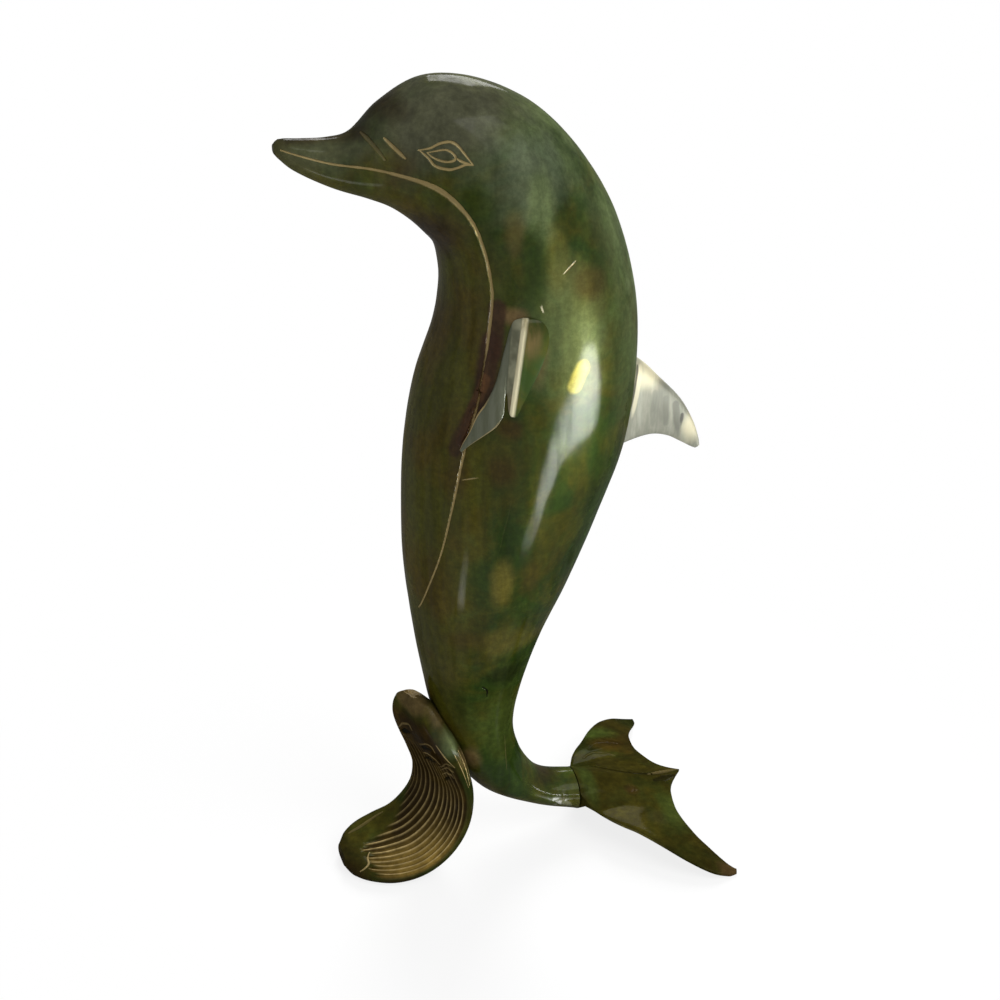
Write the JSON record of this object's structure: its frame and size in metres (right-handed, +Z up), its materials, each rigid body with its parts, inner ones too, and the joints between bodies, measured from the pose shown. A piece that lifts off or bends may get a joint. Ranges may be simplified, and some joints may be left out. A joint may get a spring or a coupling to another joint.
{
  "type": "dolphin figurine",
  "caption": "Cast brass dolphin standing on its tail flukes and a fluted breaking wave, with engraved eye and mouth lines.",
  "frame": {"origin": "bottom centre of the whole figure, on the surface that it stands on", "axes": "+Z up; +X towards the dolphin's back; -X towards its beak and belly; -Y towards its left side; Y = 0 is its middle plane"},
  "size_m": [0.203, 0.147, 0.399],
  "materials": {
    "body_brass": "cast brass under a glossy, mottled green and brown patina, with engraved lines that show tan brass",
    "dorsal_fin_metal": null,
    "flipper_brass": "glossy green and grey patina, with a pale ridge and a bright leading edge",
    "fluke_brass": "glossy, mottled green and olive-brown patina, rust brown at the near tip",
    "wave_brass": "brown and green patina, worn to yellow brass along the ridges between the flutes"
  },
  "bodies": {
    "root": {"body": "body_brass", "dorsal_fin": "dorsal_fin_metal", "left_flipper": "flipper_brass", "right_flipper": "flipper_brass", "tail_flukes": "fluke_brass", "wave_foot": "wave_brass"}
  },
  "joints": []
}
